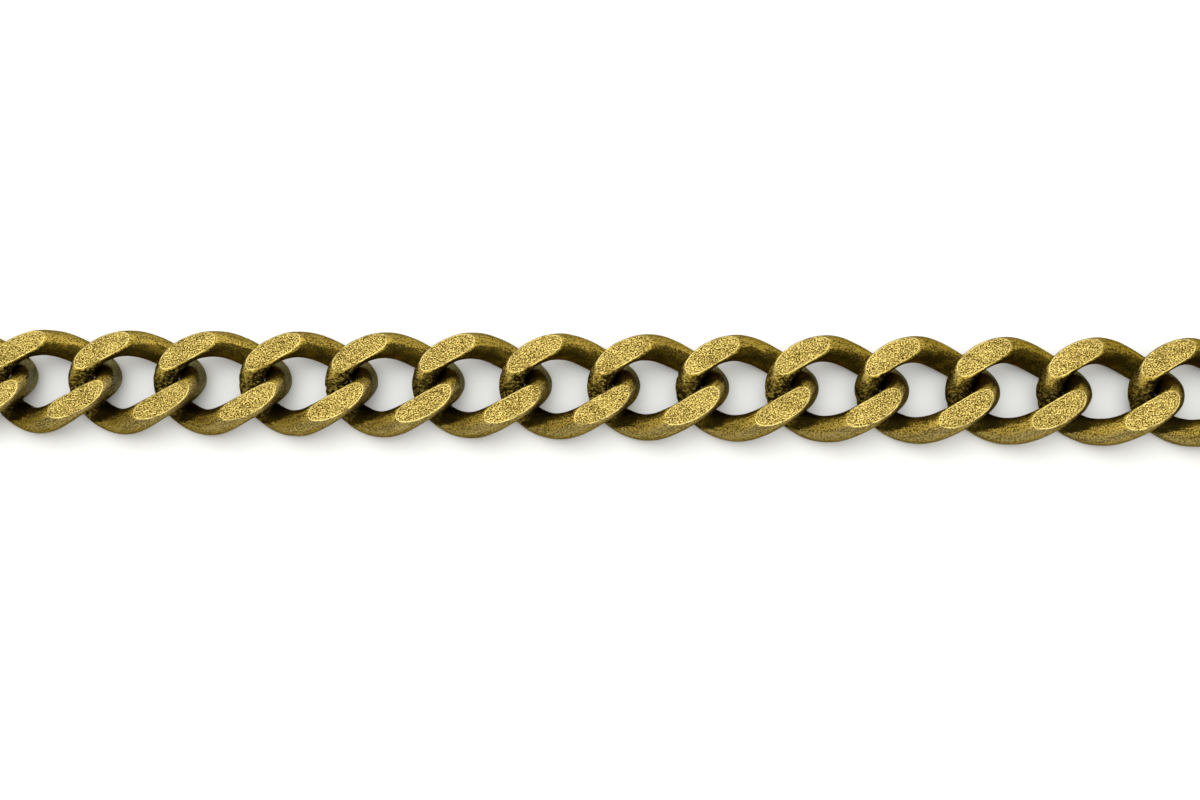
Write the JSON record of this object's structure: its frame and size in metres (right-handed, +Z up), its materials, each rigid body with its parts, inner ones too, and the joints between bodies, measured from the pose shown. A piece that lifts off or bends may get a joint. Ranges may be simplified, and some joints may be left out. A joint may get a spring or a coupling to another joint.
{
  "type": "flat-ground curb chain",
  "caption": "Straight run of chunky curb chain: twisted oval links of thick wire, ground flat above and below, antique brass finish.",
  "frame": {"origin": "halfway along the chain, in the middle of its width, on the plane of the lower ground faces", "axes": "+X along the chain from the first link to the last, +Y across it, +Z up, square to the ground faces"},
  "size_m": [0.3006, 0.0126, 0.0045],
  "materials": {
    "antique_brass": "antique brass plate over iron, stippled on the ground faces and rubbed back at their edges"
  },
  "bodies": {
    "link_01": {"link_01": "antique_brass"},
    "link_02": {"link_02": "antique_brass"},
    "link_03": {"link_03": "antique_brass"},
    "link_04": {"link_04": "antique_brass"},
    "link_05": {"link_05": "antique_brass"},
    "link_06": {"link_06": "antique_brass"},
    "link_07": {"link_07": "antique_brass"},
    "link_08": {"link_08": "antique_brass"},
    "link_09": {"link_09": "antique_brass"},
    "link_10": {"link_10": "antique_brass"},
    "link_11": {"link_11": "antique_brass"},
    "link_12": {"link_12": "antique_brass"},
    "link_13": {"link_13": "antique_brass"},
    "link_14": {"link_14": "antique_brass"},
    "link_15": {"link_15": "antique_brass"},
    "link_16": {"link_16": "antique_brass"},
    "link_17": {"link_17": "antique_brass"},
    "link_18": {"link_18": "antique_brass"},
    "link_19": {"link_19": "antique_brass"},
    "link_20": {"link_20": "antique_brass"},
    "link_21": {"link_21": "antique_brass"},
    "link_22": {"link_22": "antique_brass"},
    "link_23": {"link_23": "antique_brass"},
    "link_24": {"link_24": "antique_brass"},
    "link_25": {"link_25": "antique_brass"},
    "link_26": {"link_26": "antique_brass"},
    "link_27": {"link_27": "antique_brass"},
    "link_28": {"link_28": "antique_brass"},
    "link_29": {"link_29": "antique_brass"}
  },
  "joints": [
    {"name": "hinge_02", "type": "hinge", "parent": "link_01", "child": "link_02", "pos_m": [-0.13535, 0, 0.00225], "axis": [0, 0.8039, -0.5948], "range_deg": [-15, 15]},
    {"name": "hinge_03", "type": "hinge", "parent": "link_02", "child": "link_03", "pos_m": [-0.12855, 0, 0.00225], "axis": [0, 0.8039, 0.5948], "range_deg": [-15, 15]},
    {"name": "hinge_04", "type": "hinge", "parent": "link_03", "child": "link_04", "pos_m": [-0.11505, 0, 0.00225], "axis": [0, -0.8039, 0.5948], "range_deg": [-15, 15]},
    {"name": "hinge_05", "type": "hinge", "parent": "link_04", "child": "link_05", "pos_m": [-0.10825, 0, 0.00225], "axis": [0, -0.8039, -0.5948], "range_deg": [-15, 15]},
    {"name": "hinge_06", "type": "hinge", "parent": "link_05", "child": "link_06", "pos_m": [-0.09475, 0, 0.00225], "axis": [0, -0.8039, 0.5948], "range_deg": [-15, 15]},
    {"name": "hinge_07", "type": "hinge", "parent": "link_06", "child": "link_07", "pos_m": [-0.08795, 0, 0.00225], "axis": [0, -0.8039, -0.5948], "range_deg": [-15, 15]},
    {"name": "hinge_08", "type": "hinge", "parent": "link_07", "child": "link_08", "pos_m": [-0.07445, 0, 0.00225], "axis": [0, 0.8039, -0.5948], "range_deg": [-15, 15]},
    {"name": "hinge_09", "type": "hinge", "parent": "link_08", "child": "link_09", "pos_m": [-0.06765, 0, 0.00225], "axis": [0, 0.8039, 0.5948], "range_deg": [-15, 15]},
    {"name": "hinge_10", "type": "hinge", "parent": "link_09", "child": "link_10", "pos_m": [-0.05415, 0, 0.00225], "axis": [0, 0.8039, -0.5948], "range_deg": [-15, 15]},
    {"name": "hinge_11", "type": "hinge", "parent": "link_10", "child": "link_11", "pos_m": [-0.04735, 0, 0.00225], "axis": [0, 0.8039, 0.5948], "range_deg": [-15, 15]},
    {"name": "hinge_12", "type": "hinge", "parent": "link_11", "child": "link_12", "pos_m": [-0.03385, 0, 0.00225], "axis": [0, -0.8039, 0.5948], "range_deg": [-15, 15]},
    {"name": "hinge_13", "type": "hinge", "parent": "link_12", "child": "link_13", "pos_m": [-0.02705, 0, 0.00225], "axis": [0, -0.8039, -0.5948], "range_deg": [-15, 15]},
    {"name": "hinge_14", "type": "hinge", "parent": "link_13", "child": "link_14", "pos_m": [-0.01355, 0, 0.00225], "axis": [0, -0.8039, 0.5948], "range_deg": [-15, 15]},
    {"name": "hinge_15", "type": "hinge", "parent": "link_14", "child": "link_15", "pos_m": [-0.00675, 0, 0.00225], "axis": [0, -0.8039, -0.5948], "range_deg": [-15, 15]},
    {"name": "hinge_16", "type": "hinge", "parent": "link_15", "child": "link_16", "pos_m": [0.00675, 0, 0.00225], "axis": [0, 0.8039, -0.5948], "range_deg": [-15, 15]},
    {"name": "hinge_17", "type": "hinge", "parent": "link_16", "child": "link_17", "pos_m": [0.01355, 0, 0.00225], "axis": [0, 0.8039, 0.5948], "range_deg": [-15, 15]},
    {"name": "hinge_18", "type": "hinge", "parent": "link_17", "child": "link_18", "pos_m": [0.02705, 0, 0.00225], "axis": [0, 0.8039, -0.5948], "range_deg": [-15, 15]},
    {"name": "hinge_19", "type": "hinge", "parent": "link_18", "child": "link_19", "pos_m": [0.03385, 0, 0.00225], "axis": [0, 0.8039, 0.5948], "range_deg": [-15, 15]},
    {"name": "hinge_20", "type": "hinge", "parent": "link_19", "child": "link_20", "pos_m": [0.04735, 0, 0.00225], "axis": [0, -0.8039, 0.5948], "range_deg": [-15, 15]},
    {"name": "hinge_21", "type": "hinge", "parent": "link_20", "child": "link_21", "pos_m": [0.05415, 0, 0.00225], "axis": [0, -0.8039, -0.5948], "range_deg": [-15, 15]},
    {"name": "hinge_22", "type": "hinge", "parent": "link_21", "child": "link_22", "pos_m": [0.06765, 0, 0.00225], "axis": [0, -0.8039, 0.5948], "range_deg": [-15, 15]},
    {"name": "hinge_23", "type": "hinge", "parent": "link_22", "child": "link_23", "pos_m": [0.07445, 0, 0.00225], "axis": [0, -0.8039, -0.5948], "range_deg": [-15, 15]},
    {"name": "hinge_24", "type": "hinge", "parent": "link_23", "child": "link_24", "pos_m": [0.08795, 0, 0.00225], "axis": [0, 0.8039, -0.5948], "range_deg": [-15, 15]},
    {"name": "hinge_25", "type": "hinge", "parent": "link_24", "child": "link_25", "pos_m": [0.09475, 0, 0.00225], "axis": [0, 0.8039, 0.5948], "range_deg": [-15, 15]},
    {"name": "hinge_26", "type": "hinge", "parent": "link_25", "child": "link_26", "pos_m": [0.10825, 0, 0.00225], "axis": [0, 0.8039, -0.5948], "range_deg": [-15, 15]},
    {"name": "hinge_27", "type": "hinge", "parent": "link_26", "child": "link_27", "pos_m": [0.11505, 0, 0.00225], "axis": [0, 0.8039, 0.5948], "range_deg": [-15, 15]},
    {"name": "hinge_28", "type": "hinge", "parent": "link_27", "child": "link_28", "pos_m": [0.12855, 0, 0.00225], "axis": [0, -0.8039, 0.5948], "range_deg": [-15, 15]},
    {"name": "hinge_29", "type": "hinge", "parent": "link_28", "child": "link_29", "pos_m": [0.13535, 0, 0.00225], "axis": [0, -0.8039, -0.5948], "range_deg": [-15, 15]}
  ]
}
